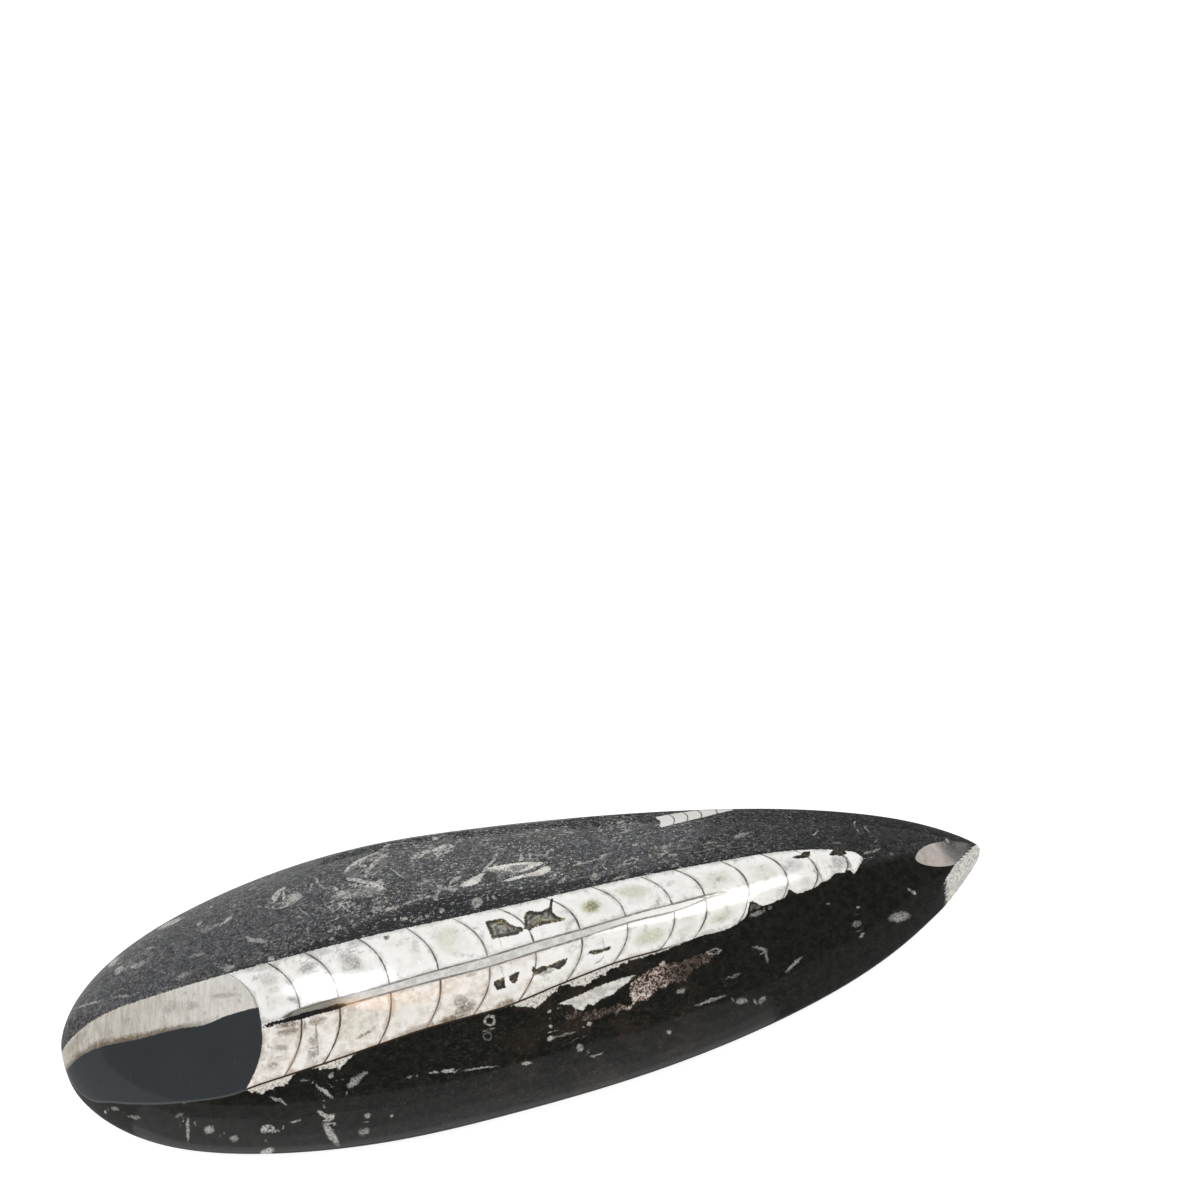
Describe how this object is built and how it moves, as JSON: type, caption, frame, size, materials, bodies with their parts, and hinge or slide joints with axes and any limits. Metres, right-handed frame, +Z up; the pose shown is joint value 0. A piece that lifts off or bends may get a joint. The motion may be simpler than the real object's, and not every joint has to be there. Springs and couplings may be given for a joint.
{
  "type": "polished orthoceras fossil",
  "caption": "Polished teardrop of black limestone, domed above and sawn flat below, showing a straight chambered orthoceras shell cut lengthwise.",
  "frame": {"origin": "middle of the sawn flat back, on the surface that the stone rests on", "axes": "+X along the stone towards its pointed tip, +Y across its width, +Z up out of the sawn back through the polished dome"},
  "size_m": [0.18, 0.0556, 0.02],
  "materials": {
    "polished_limestone": "glossy hand-polished black limestone with white and grey calcite fossil markings in the stone, sawn matte grey on the back"
  },
  "bodies": {
    "root": {"fossil_stone": "polished_limestone"}
  },
  "joints": []
}
